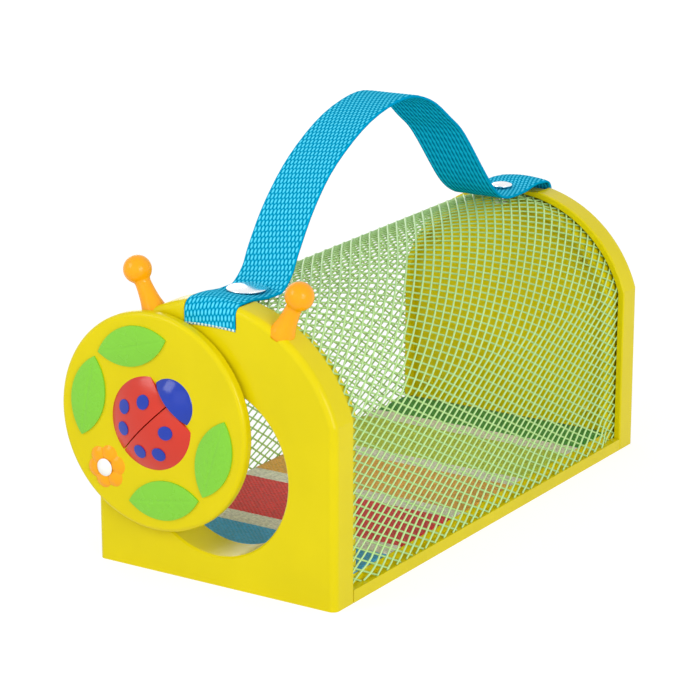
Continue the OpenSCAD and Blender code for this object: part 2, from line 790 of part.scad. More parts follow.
front_panel();
front_frame();
rear_panel();
rear_frame();
base_tray();
floor_mat();
net_screen();
carry_strap();
front_rivet();
rear_rivet();
rivet_washers();
left_peg();
right_peg();
front_screws();
rear_screws();
base_screws();
door_disc();
door_washer();
door_screw();
leaf_wreath();
beetle_wing_left();
beetle_wing_right();
beetle_head();
beetle_spots();
blossom_petals();
blossom_centre();
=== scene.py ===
# Bug house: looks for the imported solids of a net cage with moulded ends, a swinging door and a handle.
import json
import math

import bmesh
import bpy
from mathutils import Matrix, Vector

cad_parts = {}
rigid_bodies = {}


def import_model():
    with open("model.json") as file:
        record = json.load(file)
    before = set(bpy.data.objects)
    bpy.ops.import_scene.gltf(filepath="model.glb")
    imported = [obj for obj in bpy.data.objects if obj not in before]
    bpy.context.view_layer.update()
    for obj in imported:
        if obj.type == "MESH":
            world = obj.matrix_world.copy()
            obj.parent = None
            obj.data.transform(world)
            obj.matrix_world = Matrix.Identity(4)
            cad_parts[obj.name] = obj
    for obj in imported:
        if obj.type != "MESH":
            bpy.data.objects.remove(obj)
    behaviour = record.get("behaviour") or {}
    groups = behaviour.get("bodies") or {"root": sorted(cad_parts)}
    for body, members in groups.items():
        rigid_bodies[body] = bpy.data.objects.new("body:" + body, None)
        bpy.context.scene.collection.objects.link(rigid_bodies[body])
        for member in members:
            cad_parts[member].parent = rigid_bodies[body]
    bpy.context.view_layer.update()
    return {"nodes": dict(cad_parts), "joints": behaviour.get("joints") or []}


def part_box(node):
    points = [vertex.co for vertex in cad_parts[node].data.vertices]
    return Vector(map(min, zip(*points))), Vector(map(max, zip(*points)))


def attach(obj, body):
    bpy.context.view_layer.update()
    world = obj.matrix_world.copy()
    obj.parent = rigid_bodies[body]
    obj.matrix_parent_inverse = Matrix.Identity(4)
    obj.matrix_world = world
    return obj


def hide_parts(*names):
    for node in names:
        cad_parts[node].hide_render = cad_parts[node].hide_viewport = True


# Frame
# The imported solids are the construction, in metres, with the door at -Y and the ground at Z 0.
# Every piece below is built round them.
for leftover in list(bpy.data.objects):
    bpy.data.objects.remove(leftover)
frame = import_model()
MM = 0.001


# Studio
# A pale sweep of paper under soft light: a lamp above on the front left, a second one from the right and
# weak low ones before the door and behind. The camera stands where the photograph was taken from.
CAMERA_AZIMUTH = math.radians(32.687)
CAMERA_ELEVATION = math.radians(16.160)
CAMERA_DISTANCE = 1.1998
CAMERA_TARGET = Vector((-12.473, -8.004, 69.256)) * MM
CAMERA_LENS = 137.79
CAMERA_NEAR = 0.05
WHITE = (1, 1, 1, 1)
AMBIENT = 0.72
FLOOR_HALF = 6.0
PAPER_TONE = 0.8
PAPER_GLOW = 0.8
PAPER_CAUGHT = 0.27
GLOW_RISE_START = 0.5
GLOW_RISE_END = 2.0


def add_node(tree, kind, inputs=None, **settings):
    """A shader node with its settings, its inputs set to values or linked to other nodes' sockets."""
    made = tree.nodes.new("ShaderNode" + kind)
    for name, value in settings.items():
        setattr(made, name, value)
    for name, value in (inputs or {}).items():
        if isinstance(value, bpy.types.NodeSocket):
            tree.links.new(value, made.inputs[name])
        else:
            made.inputs[name].default_value = value
    return made


def math_node(tree, operation, *values):
    """The result of one operation on two or three numbers or sockets."""
    return add_node(tree, "Math", dict(enumerate(values)), operation=operation).outputs[0]


def seen_directly(tree):
    """1 for rays from the camera and for what gloss and glass show, 0 for light that is bounced on."""
    path = add_node(tree, "LightPath").outputs
    gloss = math_node(tree, "MAXIMUM", path["Is Glossy Ray"], path["Is Transmission Ray"])
    return math_node(tree, "MAXIMUM", path["Is Camera Ray"], gloss)


camera_data = bpy.data.cameras.new("camera")
camera_data.lens = CAMERA_LENS
camera_data.clip_start = CAMERA_NEAR
camera = bpy.data.objects.new("camera", camera_data)
bpy.context.scene.collection.objects.link(camera)
camera_back = Vector((
    math.sin(CAMERA_AZIMUTH) * math.cos(CAMERA_ELEVATION),
    -math.cos(CAMERA_AZIMUTH) * math.cos(CAMERA_ELEVATION),
    math.sin(CAMERA_ELEVATION),
))
camera.location = CAMERA_TARGET + camera_back * CAMERA_DISTANCE
camera.rotation_mode = "QUATERNION"
camera.rotation_quaternion = (-camera_back).to_track_quat("-Z", "Y")
bpy.context.scene.camera = camera
bpy.context.scene.view_settings.view_transform = "Standard"

world = bpy.data.worlds.new("studio")
bpy.context.scene.world = world
world.use_nodes = True
world.node_tree.nodes.clear()
room = add_node(world.node_tree, "Background", {"Color": WHITE, "Strength": AMBIENT})
backdrop = add_node(world.node_tree, "Background", {"Color": WHITE, "Strength": 1.0})
shown = add_node(world.node_tree, "MixShader", {0: seen_directly(world.node_tree), 1: room.outputs[0],
                                                2: backdrop.outputs[0]})
add_node(world.node_tree, "OutputWorld", {"Surface": shown.outputs[0]})

LAMPS = {
    "key_lamp": {"place": (-1.05, -1.5, 1.2), "width": 1.0, "watts": 12},
    "side_lamp": {"place": (1.8, -1.0, 0.6), "width": 1.0, "watts": 19.5},
    "front_lamp": {"place": (0.3, -2.2, 0.5), "width": 1.4, "watts": 3},
    "back_lamp": {"place": (-1.7, 1.6, 0.55), "width": 1.2, "watts": 5},
}
for lamp_name, lamp in LAMPS.items():
    lamp_data = bpy.data.lights.new(lamp_name, "AREA")
    lamp_data.size = lamp["width"]
    lamp_data.energy = lamp["watts"]
    lamp_object = bpy.data.objects.new(lamp_name, lamp_data)
    lamp_object.location = lamp["place"]
    lamp_object.rotation_mode = "QUATERNION"
    lamp_object.rotation_quaternion = (CAMERA_TARGET - Vector(lamp["place"])).to_track_quat("-Z", "Y")
    bpy.context.scene.collection.objects.link(lamp_object)


def new_material(name):
    """An empty material and its node tree."""
    made = bpy.data.materials.new(name)
    made.use_nodes = True
    made.node_tree.nodes.clear()
    return made, made.node_tree


def paper_material():
    """Paper that looks white, with a soft shadow near the house, and bounces light as plain paper does."""
    made, tree = new_material("paper")
    place = add_node(tree, "TexCoord").outputs["Object"]
    from_house = add_node(tree, "VectorMath", {0: place}, operation="LENGTH")
    whiter = add_node(tree, "MapRange", {"Value": from_house.outputs["Value"],
                                         "From Min": GLOW_RISE_START, "From Max": GLOW_RISE_END,
                                         "To Min": PAPER_GLOW, "To Max": 1.0})
    bounced = add_node(tree, "BsdfDiffuse", {"Color": (*[PAPER_TONE] * 3, 1)})
    caught = add_node(tree, "BsdfDiffuse", {"Color": (*[PAPER_CAUGHT] * 3, 1)})
    glow = add_node(tree, "Emission", {"Color": WHITE, "Strength": whiter.outputs[0]})
    bright = add_node(tree, "AddShader", {0: caught.outputs[0], 1: glow.outputs[0]})
    either = add_node(tree, "MixShader", {0: seen_directly(tree), 1: bounced.outputs[0],
                                          2: bright.outputs[0]})
    add_node(tree, "OutputMaterial", {"Surface": either.outputs[0]})
    return made


def finished(bm, name, material):
    """A smooth-shaded object at the origin from a bmesh, with its material on it."""
    mesh = bpy.data.meshes.new(name)
    bm.to_mesh(mesh)
    bm.free()
    mesh.polygons.foreach_set("use_smooth", [True] * len(mesh.polygons))
    mesh.materials.append(material)
    made = bpy.data.objects.new(name, mesh)
    bpy.context.scene.collection.objects.link(made)
    return made


bm = bmesh.new()
bmesh.ops.create_grid(bm, x_segments=1, y_segments=1, size=FLOOR_HALF)
finished(bm, "paper_floor", paper_material())


# Base tray
# One injection moulding in yellow plastic: rails under the net, a raised deck and ribs below it.
# Its solid has the right shape, so it only gets the moulded finish that all the plastic pieces share.
YELLOW = (0.70, 0.58, 0.002)
NOISE_RANGE = {"From Min": 0.3, "From Max": 0.7}
DRIFT_SCALE = 28
DRIFT_SHARE = 0.035
PATCH_SCALE = 140
PATCH_CLEAR = -0.04
PATCH_DULL = 0.05
PEEL_SCALE = 1300
PEEL_DEPTH = 0.1 * MM


def moulding_group():
    """Skin of moulded plastic: slow drift of the colour, patchy gloss and the fine peel of the mould."""
    group = bpy.data.node_groups.new("moulding", "ShaderNodeTree")
    group.interface.new_socket("Colour", in_out="INPUT", socket_type="NodeSocketColor")
    group.interface.new_socket("Roughness", in_out="INPUT", socket_type="NodeSocketFloat")
    group.interface.new_socket("Colour", in_out="OUTPUT", socket_type="NodeSocketColor")
    group.interface.new_socket("Roughness", in_out="OUTPUT", socket_type="NodeSocketFloat")
    group.interface.new_socket("Height", in_out="OUTPUT", socket_type="NodeSocketFloat")
    given = group.nodes.new("NodeGroupInput")
    out = group.nodes.new("NodeGroupOutput")
    place = add_node(group, "TexCoord").outputs["Object"]
    drift = add_node(group, "TexNoise", {"Vector": place, "Scale": DRIFT_SCALE, "Detail": 3})
    lighter = add_node(group, "MapRange", {"Value": drift.outputs[0], **NOISE_RANGE,
                                           "To Min": 1 - DRIFT_SHARE, "To Max": 1 + DRIFT_SHARE})
    tinted = add_node(group, "HueSaturation", {"Color": given.outputs["Colour"], "Value": lighter.outputs[0]})
    patches = add_node(group, "TexNoise", {"Vector": place, "Scale": PATCH_SCALE, "Detail": 4})
    duller = add_node(group, "MapRange", {"Value": patches.outputs[0], **NOISE_RANGE,
                                          "To Min": PATCH_CLEAR, "To Max": PATCH_DULL})
    rough = math_node(group, "ADD", given.outputs["Roughness"], duller.outputs[0])
    peel = add_node(group, "TexNoise", {"Vector": place, "Scale": PEEL_SCALE, "Detail": 2})
    group.links.new(tinted.outputs[0], out.inputs["Colour"])
    group.links.new(rough, out.inputs["Roughness"])
    group.links.new(peel.outputs[0], out.inputs["Height"])
    return group


moulding = moulding_group()


def skinned(name, colour, roughness, peel, peel_depth, finish):
    """A material with the moulding's skin in one colour, and its finish as inputs of the shader."""
    made, tree = new_material(name)
    skin = add_node(tree, "Group", node_tree=moulding)
    skin.inputs["Colour"].default_value = (*colour, 1)
    skin.inputs["Roughness"].default_value = roughness
    bump = add_node(tree, "Bump", {"Height": skin.outputs["Height"], "Strength": peel,
                                   "Distance": peel_depth})
    shader = add_node(tree, "BsdfPrincipled", {"Base Color": skin.outputs["Colour"],
                                               "Roughness": skin.outputs["Roughness"],
                                               "Normal": bump.outputs[0], **finish})
    add_node(tree, "OutputMaterial", {"Surface": shader.outputs[0]})
    return made


def moulded_plastic(name, colour, roughness, gloss, peel):
    """Plastic with the moulding's skin, in one colour."""
    return skinned(name, colour, roughness, peel, PEEL_DEPTH, {"Specular IOR Level": gloss})


def dress(node, material):
    """Gives a solid that is shown as it is its material."""
    mesh = frame["nodes"][node].data
    mesh.materials.clear()
    mesh.materials.append(material)


yellow_plastic = moulded_plastic("yellow_plastic", YELLOW, roughness=0.2, gloss=0.14, peel=0.12)
dress("base_tray", yellow_plastic)


# Floor mat
# A piece of printed cotton canvas, cut to the deck and glued on it, in broad coloured stripes with
# narrow white ones between them. It lies a little unevenly, as glued cloth does.
MAT_THICKNESS = 0.4 * MM
MAT_THREAD = 1.1 * MM
MAT_RIPPLE = 0.06 * MM
RIPPLES_ACROSS = 41
RIPPLES_ALONG = 29
RIPPLE_SLANT = 3
MAT_STEPS_ACROSS = 40
MAT_STEPS_ALONG = 80
CANVAS_ROUGHNESS = 0.9
CANVAS_SHEEN = 0.15
CANVAS_BUMP = 0.6
CANVAS_BUMP_DEPTH = 0.3 * MM
PRINT_BLEED = 0.6 * MM
BLEED_SCALE = 700
SLUB_SCALE = 850
WEAVE_SHARE = 0.45
THREAD_SHADE_RANGE = {"From Min": 0.1, "From Max": 1.35, "To Min": 0.62, "To Max": 1.2}
CANVAS_WHITE = (0.86, 0.79, 0.66)
MAT_STRIPES = (
    (-114, (0.040, 0.41, 0.78)),
    (-86, CANVAS_WHITE),
    (-74, (0.83, 0.024, 0.026)),
    (-32.5, CANVAS_WHITE),
    (-22, (0.90, 0.42, 0.040)),
    (19.5, CANVAS_WHITE),
    (30, (0.56, 0.66, 0.016)),
    (72, CANVAS_WHITE),
    (83.5, (0.025, 0.30, 0.0)),
)


def weave_group():
    """Height of a plain weave on two coordinates, counted in threads."""
    group = bpy.data.node_groups.new("plain_weave", "ShaderNodeTree")
    group.interface.new_socket("Threads", in_out="INPUT", socket_type="NodeSocketVector")
    group.interface.new_socket("Height", in_out="OUTPUT", socket_type="NodeSocketFloat")
    given = group.nodes.new("NodeGroupInput")
    out = group.nodes.new("NodeGroupOutput")
    wave_period = math.tau / 20
    over = add_node(group, "TexChecker", {"Vector": given.outputs[0], "Color1": (0, 0, 0, 1),
                                          "Color2": WHITE, "Scale": 1})
    warp = add_node(group, "TexWave", {"Vector": given.outputs[0], "Scale": wave_period},
                    bands_direction="X", wave_profile="SIN")
    weft = add_node(group, "TexWave", {"Vector": given.outputs[0], "Scale": wave_period},
                    bands_direction="Y", wave_profile="SIN")
    height = add_node(group, "Mix", {0: over.outputs[1], 2: weft.outputs[1], 3: warp.outputs[1]},
                      data_type="FLOAT")
    group.links.new(height.outputs[0], out.inputs["Height"])
    return group


plain_weave = weave_group()


def striped_canvas_material():
    """Canvas with the stripes printed across it, with painted shade between its threads and random slub tone.
    """
    made, tree = new_material("striped_canvas")
    place = add_node(tree, "TexCoord").outputs["Object"]
    threads = add_node(tree, "Mapping", {"Vector": place, "Scale": (1 / MAT_THREAD, 1 / MAT_THREAD, 0)})
    weave = add_node(tree, "Group", {0: threads.outputs[0]}, node_tree=plain_weave)
    bleed = add_node(tree, "TexNoise", {"Vector": place, "Scale": BLEED_SCALE, "Detail": 2})
    along = add_node(tree, "SeparateXYZ", {0: place})
    ragged = add_node(tree, "MapRange", {"Value": bleed.outputs[0],
                                         "To Min": -PRINT_BLEED, "To Max": PRINT_BLEED})
    edge = math_node(tree, "ADD", along.outputs["Y"], ragged.outputs[0])
    first, last = MAT_STRIPES[0][0], -MAT_STRIPES[0][0]
    share = add_node(tree, "MapRange", {"Value": edge, "From Min": first * MM, "From Max": last * MM})
    stripes = add_node(tree, "ValToRGB", {0: share.outputs[0]})
    ramp = stripes.color_ramp
    ramp.interpolation = "CONSTANT"
    for number, (start, colour) in enumerate(MAT_STRIPES):
        stop = ramp.elements[0] if number == 0 else ramp.elements.new((start - first) / (last - first))
        stop.color = (*colour, 1)
    ramp.elements.remove(ramp.elements[len(MAT_STRIPES)])
    yarn = add_node(tree, "TexNoise", {"Vector": place, "Scale": SLUB_SCALE, "Detail": 3})
    slub = add_node(tree, "MapRange", {"Value": yarn.outputs[0], **NOISE_RANGE})
    # Painted shade between the threads from the weave's height, mixed with random slub tone.
    thread_shade_and_slub = math_node(tree, "MULTIPLY_ADD", weave.outputs["Height"], WEAVE_SHARE, slub.outputs[0])
    shade = add_node(tree, "MapRange", {"Value": thread_shade_and_slub, **THREAD_SHADE_RANGE})
    colour = add_node(tree, "HueSaturation", {"Color": stripes.outputs[0], "Value": shade.outputs[0]})
    bump = add_node(tree, "Bump", {"Height": weave.outputs["Height"], "Strength": CANVAS_BUMP,
                                   "Distance": CANVAS_BUMP_DEPTH})
    shader = add_node(tree, "BsdfPrincipled", {"Base Color": colour.outputs[0], "Roughness": CANVAS_ROUGHNESS,
                                               "Normal": bump.outputs[0], "Sheen Weight": CANVAS_SHEEN})
    add_node(tree, "OutputMaterial", {"Surface": shader.outputs[0]})
    return made


mat_low, mat_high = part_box("floor_mat")
mat_size = mat_high - mat_low
bm = bmesh.new()
bmesh.ops.create_grid(bm, x_segments=MAT_STEPS_ACROSS, y_segments=MAT_STEPS_ALONG, size=0.5)
for corner in bm.verts:
    x, y, _ = corner.co
    ripple = math.sin(RIPPLES_ACROSS * x) * math.sin(RIPPLES_ALONG * y + RIPPLE_SLANT * x)
    height = MAT_THICKNESS + MAT_RIPPLE * (1 + ripple) / 2
    corner.co = Vector((x * mat_size.x, y * mat_size.y, mat_low.z + height))
floor_cloth = finished(bm, "floor_cloth", striped_canvas_material())
thickness = floor_cloth.modifiers.new("cloth", "SOLIDIFY")
thickness.thickness = MAT_THICKNESS
thickness.offset = -1
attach(floor_cloth, "house")
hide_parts("floor_mat")


# End panels and their frames
# Two deep shells with arched tops, moulded in the same yellow, and the plates that close their backs.
# The solids carry the rounded edges, the doorway's collar and the notch for the webbing.
for panel in ("front_panel", "rear_panel", "front_frame", "rear_frame"):
    dress(panel, yellow_plastic)


# Frame and base screws
# Pan-head screws with a cross recess: four in each frame, lacquered yellow, and four zinc-plated ones
# from below. Each head is turned as one profile, and the recess is punched into it.
SCREW_HEAD_R = 2.8 * MM
SCREW_HEAD_H = 1.6 * MM
SCREW_HEAD = ((0, 1), (0.45, 1), (0.75, 0.93), (0.94, 0.7), (1, 0.35), (1, 0))
SCREW_CREASE = math.radians(35)
SCREW_R = 1.2 * MM
RECESS_LENGTH = 3.0 * MM
RECESS_WIDTH = 0.7 * MM
RECESS_DEPTH = 1.0 * MM
SCREW_STEPS = 24
STEEL_PEEL = 0.15
STEEL_PEEL_DEPTH = 0.05 * MM
WELD = 0.001 * MM


def steel_material(name, colour, roughness):
    """Plated steel with a fine bumped grain, a slight drift of colour and a patchy gloss."""
    return skinned(name, colour, roughness, STEEL_PEEL, STEEL_PEEL_DEPTH, {"Metallic": 1.0})


def turned(bm, profile, steps):
    """A closed turned shape about Z from its half outline of radius and height, axis point to axis point."""
    points = [bm.verts.new((radius, 0, height)) for radius, height in profile]
    edges = [bm.edges.new(pair) for pair in zip(points, points[1:])]
    bmesh.ops.spin(bm, geom=points + edges, axis=(0, 0, 1), cent=(0, 0, 0), angle=math.tau, steps=steps,
                   use_merge=True)
    bmesh.ops.remove_doubles(bm, verts=bm.verts, dist=WELD)
    bmesh.ops.recalc_face_normals(bm, faces=bm.faces)


def pan_head_screw(shank_length):
    """Mesh of one screw along Z, its head's seat at the origin, its head below and its shank above."""
    bm = bmesh.new()
    head = [(r * SCREW_HEAD_R, -h * SCREW_HEAD_H) for r, h in SCREW_HEAD]
    shank = [(SCREW_R, 0), (SCREW_R, shank_length - SCREW_R), (0, shank_length)]
    turned(bm, head + shank, SCREW_STEPS)
    body = finished(bm, "screw_blank", screw_steel)
    bm = bmesh.new()
    for size in ((RECESS_LENGTH, RECESS_WIDTH), (RECESS_WIDTH, RECESS_LENGTH)):
        depth = 2 * RECESS_DEPTH
        place = Matrix.Translation((0, 0, -SCREW_HEAD_H)) @ Matrix.Diagonal((*size, depth, 1))
        bmesh.ops.create_cube(bm, size=1, matrix=place)
    punch = finished(bm, "recess_punch", screw_steel)
    cut = body.modifiers.new("recess", "BOOLEAN")
    cut.object = punch
    cut.solver = "EXACT"
    cut.use_self = True
    bpy.context.view_layer.update()
    mesh = bpy.data.meshes.new_from_object(body.evaluated_get(bpy.context.evaluated_depsgraph_get()))
    bpy.data.objects.remove(body)
    bpy.data.objects.remove(punch)
    return mesh


def place_screws(name, node, body, mesh, places, material):
    """Copies of a screw at their places, as one piece that stands for the node."""
    bm = bmesh.new()
    for place in places:
        kept = set(bm.verts)
        bm.from_mesh(mesh)
        bmesh.ops.transform(bm, matrix=place, verts=[v for v in bm.verts if v not in kept])
    made = finished(bm, name, material)
    made.data.set_sharp_from_angle(angle=SCREW_CREASE)
    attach(made, body)
    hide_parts(node)


screw_steel = steel_material("screw_steel", (0.62, 0.62, 0.61), roughness=0.32)
yellow_enamel = moulded_plastic("yellow_enamel", YELLOW, roughness=0.3, gloss=0.4, peel=0.05)
HALF_TURN = Matrix.Rotation(math.pi, 4, "Z")
QUARTER_TURN = Matrix.Rotation(math.radians(90), 4, "X")
FRAME_PLATE_Y = -113.95 * MM
FRAME_SCREW_LENGTH = 9 * MM
FRAME_SCREWS = ((44 * MM, 18 * MM), (40.53 * MM, 92 * MM))
frame_screw = pan_head_screw(FRAME_SCREW_LENGTH)
front_places = [
    Matrix.Translation((side * x, FRAME_PLATE_Y, z)) @ QUARTER_TURN
    for side in (-1, 1) for x, z in FRAME_SCREWS
]
rear_places = [HALF_TURN @ place for place in front_places]
for screws_name, screws_node, places in (("front_frame_screws", "front_screws", front_places),
                                         ("rear_frame_screws", "rear_screws", rear_places)):
    place_screws(screws_name, screws_node, "house", frame_screw, places, yellow_enamel)
BASE_SCREW_LENGTH = 3.4 * MM
BASE_SCREW_X = 30 * MM
BASE_SCREW_Y = 123 * MM
BASE_SCREW_SEAT = 1.85 * MM
base_screw = pan_head_screw(BASE_SCREW_LENGTH)
base_places = [Matrix.Translation((x, y, BASE_SCREW_SEAT))
               for x in (-BASE_SCREW_X, BASE_SCREW_X) for y in (-BASE_SCREW_Y, BASE_SCREW_Y)]
place_screws("tongue_screws", "base_screws", "house", base_screw, base_places, screw_steel)


# Net
# Extruded plastic netting in pale green: one layer of strands slants one way and one the other, welded
# where they cross; the inner layer is given a deeper green as painted shade from the outer one. It is bent
# over the frames' flanges, and its feet are drawn out over the base's rails.
NET_LAYERS = (
    {"slant": math.radians(-32.0), "round": 4.80 * MM, "offset": 0.2 * MM},
    {"slant": math.radians(26.8), "round": 4.66 * MM, "offset": -0.2 * MM},
)
STRAND_HALF_WIDTH = 0.44 * MM
STRAND_FLATTENING = 0.85
STRAND_STEP = 4.0 * MM
OUTER_GREEN = (0.52, 0.78, 0.32)
# The inner layer's deeper green is painted shade, standing in for the outer layer's shadow on it.
INNER_GREEN_PAINTED_SHADE = (0.40, 0.64, 0.23)
NET_LIFT = 2.6 * MM
FOOT_SPREAD = 2.9 * MM
FOOT_RISE = 16 * MM
FOOT_FREE = 100 * MM
FOOT_HELD = 112 * MM
LIFT_START = -60 * MM
LIFT_RUN = 160 * MM
LIFT_FADE_START = 106 * MM
LIFT_FADE_END = 117 * MM
LEFT_CROWN_START = math.radians(36)
LEFT_CROWN_END = math.radians(68)
RIGHT_CROWN_START = math.radians(10)
RIGHT_CROWN_END = math.radians(45)
NET_HALF_T = 0.5 * MM
HOUSE_H = 122 * MM
ARCH_RISE = 44 * MM
HALF_WIDTH = 60 * MM
ARCH_R = (HALF_WIDTH ** 2 + ARCH_RISE ** 2) / (2 * ARCH_RISE)
ARCH_Z = HOUSE_H - ARCH_R

net_low, net_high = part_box("net_screen")
net_side_x = net_high.x - NET_HALF_T
net_arch_r = ARCH_R - (HALF_WIDTH - net_side_x)
net_corner_turn = math.asin(net_side_x / net_arch_r)
net_wall = ARCH_Z + net_arch_r * math.cos(net_corner_turn) - net_low.z
net_girth = 2 * net_wall + 2 * net_corner_turn * net_arch_r


def eased(value, start, stop):
    """0 before the start, 1 past the stop, and a smooth rise between them."""
    share = min(max((value - start) / (stop - start), 0), 1)
    return share * share * (3 - 2 * share)


def roof_lift(turn, y):
    """How far the net is pulled up towards the rear, where the handle is riveted to it."""
    rise = min(max((y - LIFT_START) / LIFT_RUN, 0), 1) * (1 - eased(y, LIFT_FADE_START, LIFT_FADE_END))
    left_crown = 1 - eased(-turn, LEFT_CROWN_START, LEFT_CROWN_END)
    right_crown = 1 - eased(turn, RIGHT_CROWN_START, RIGHT_CROWN_END)
    return NET_LIFT * rise * min(left_crown, right_crown)


def foot_spread(rise, y):
    """How far the net's foot is drawn outwards, over the rails' tops, at a height above it."""
    return FOOT_SPREAD * (1 - eased(rise, 0, FOOT_RISE)) * (1 - eased(abs(y), FOOT_FREE, FOOT_HELD))


def on_net(girth, y, height):
    """Point at a distance round the net from its left foot, lifted off its middle surface."""
    if girth < net_wall:
        return Vector((-net_side_x - height - foot_spread(girth, y), y, net_low.z + girth))
    if girth > net_girth - net_wall:
        rise = net_girth - girth
        return Vector((net_side_x + height + foot_spread(rise, y), y, net_low.z + rise))
    turn = (girth - net_wall) / net_arch_r - net_corner_turn
    reach = net_arch_r + height + roof_lift(turn, y)
    return Vector((reach * math.sin(turn), y, ARCH_Z + reach * math.cos(turn)))


def net_strands(slant, step):
    """Straight strands of one layer on the flat net, as runs of points of girth and length."""
    drift = math.tan(slant) * (net_high.y - net_low.y)
    first = min(0, -drift)
    last = net_girth + max(0, -drift)
    for number in range(math.ceil(first / step), math.floor(last / step) + 1):
        ends = []
        for girth_limit in (0, net_girth):
            reach = (girth_limit - number * step) / math.tan(slant)
            ends.append(min(max(reach, 0), net_high.y - net_low.y))
        start, stop = min(ends), max(ends)
        length = (stop - start) / math.cos(slant)
        if length < step / 2:
            continue
        count = max(2, math.ceil(length / STRAND_STEP) + 1)
        run = [start + (stop - start) * k / (count - 1) for k in range(count)]
        yield [(number * step + math.tan(slant) * y, net_low.y + y) for y in run]


def net_layer(slant, step):
    """One layer of strands as a flat mesh: X round the net, Y along it, Z off its surface."""
    line = bpy.data.curves.new("strands", "CURVE")
    line.dimensions = "3D"
    line.bevel_depth = STRAND_HALF_WIDTH
    line.bevel_resolution = 1
    line.use_fill_caps = True
    for strand in net_strands(slant, step):
        spline = line.splines.new("POLY")
        spline.points.add(len(strand) - 1)
        for point, (girth, y) in zip(spline.points, strand):
            point.co = (girth, y, 0, 1)
    holder = bpy.data.objects.new("strands", line)
    bpy.context.scene.collection.objects.link(holder)
    bpy.context.view_layer.update()
    mesh = bpy.data.meshes.new_from_object(holder.evaluated_get(bpy.context.evaluated_depsgraph_get()))
    bpy.data.objects.remove(holder)
    return mesh


bm = bmesh.new()
for number, layer in enumerate(NET_LAYERS):
    kept = set(bm.verts)
    bm.from_mesh(net_layer(layer["slant"], layer["round"]))
    for corner in bm.verts:
        if corner not in kept:
            girth, y, height = corner.co
            corner.co = on_net(girth, y, layer["offset"] + STRAND_FLATTENING * height)
            for face in corner.link_faces:
                face.material_index = number
bmesh.ops.recalc_face_normals(bm, faces=bm.faces)
green_net = moulded_plastic("green_net", OUTER_GREEN, roughness=0.4, gloss=0.4, peel=0.2)
# The inner layer gets the same plastic, darkened as painted shade.
green_net_shaded_layer = moulded_plastic("green_net_shaded_layer", INNER_GREEN_PAINTED_SHADE, roughness=0.4, gloss=0.4, peel=0.2)
net_cover = finished(bm, "net_cover", green_net)
net_cover.data.materials.append(green_net_shaded_layer)
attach(net_cover, "house")
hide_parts("net_screen")


# Carry handle
# Polypropylene webbing, 25 mm wide, woven in raised columns of short floats. It hangs down both panels'
# faces, lies on the net under a rivet at each end, and stands up as a slightly twisted loop between them.
STRAP_HALF_W = 12.5 * MM
STRAP_COLUMNS = 14
STRAP_SEGMENTS = 56
FLOAT_PITCH = 2.56 * MM
ROWS_PER_FLOAT = 4
SQUARE_REACH = 2
FLOAT_HEIGHT = 0.17 * MM
FLOAT_DIP = 0.8
COLUMN_SHIFT = 0.12
ROW_STAGGER = 0.5
FLOAT_FULLNESS = 0.8
SELVAGE = 0.6
RIDGE_SHARPNESS = 1.5
# Each set of blues runs from painted shade in the dips, through the yarn's blue, to a painted highlight on
# the floats' tops; the dip values darken the dips between rows as painted shade.
OUTER_DIP_SHADE = 0.65
OUTER_BLUES_SHADE_TO_HIGHLIGHT = ((0.0, 0.17, 0.31), (0.001, 0.36, 0.61), (0.10, 0.68, 0.90))
INNER_DIP_SHADE = 0.1
INNER_BLUES_SHADE_TO_HIGHLIGHT = ((0.0, 0.13, 0.26), (0.0, 0.30, 0.55), (0.008, 0.47, 0.76))
CROWN_START = 113 * MM
CROWN_FULL = 122 * MM
HANGING_LOSS = 0.6
BEND_START = 128 * MM
BEND_END = 131.9 * MM
CUT_YARN = 0.36
CUT_COLOUR = (0.80, 0.86, 0.68, 1)
TONE_LOW = 0.1
TONE_MIDDLE = 0.55
FIBRE_STRETCH = (9, 1.5, 1)
FIBRE_SHARE = 0.3
WEBBING_BUMP = 0.35
WEBBING_BUMP_DEPTH = 0.15 * MM
WEBBING_ROUGHNESS = 0.55
STRAP_BODY = 1.0 * MM
STRAP_CROWN = 1.2 * MM
# Points of the webbing's line, in millimetres
STRAP_FACE_Y = -131.95
STRAP_END_Z = 110.9
STRAP_RIM_Z = 121.05
STRAP_SEAT_Z = 119.65
STRAP_REAR_Z = 123.9
STRAP_BEND_R = 5
STRAP_BEND_STEP = 15
STRAP_SLOPE = ((-122, 121.05), (-117, 120.75), (-112, 120.1), (-108, STRAP_SEAT_Z))
STRAP_REAR_RISE = ((105.77, 123.1), (110, 123.6), (114, 124.2), (118, 124.5), (122, 124.3))
TWISTS = ((0, 0), (0.06, 0), (0.2, -4), (0.4, -3), (0.55, 3), (0.7, 12), (0.85, 12), (0.97, 0), (1, 0))
RIVET_Y = 105.77
LOOP_START = -98.77
LOOP_END = 94.77
LOOP_RISE = 65.5
LOOP_STEPS = 4
LOOP = ((0, 0), (0.04, 0.09), (0.067, 0.225), (0.13, 0.476), (0.22, 0.713), (0.356, 0.919), (0.5, 1),
        (0.6, 0.935), (0.686, 0.768), (0.75, 0.624), (0.853, 0.285), (0.9, 0.155), (0.94, 0.085),
        (0.97, 0.06), (1, 0.05))


def smooth_run(points, steps):
    """Points on a smooth curve through all but the first and the last of these."""
    run = []
    for a, b, c, d in zip(points, points[1:], points[2:], points[3:]):
        for k in range(steps):
            t = k / steps
            run.append((2 * b + (c - a) * t + (2 * a - 5 * b + 4 * c - d) * t ** 2
                        + (3 * b - a - 3 * c + d) * t ** 3) / 2)
    return run + [points[-2]]


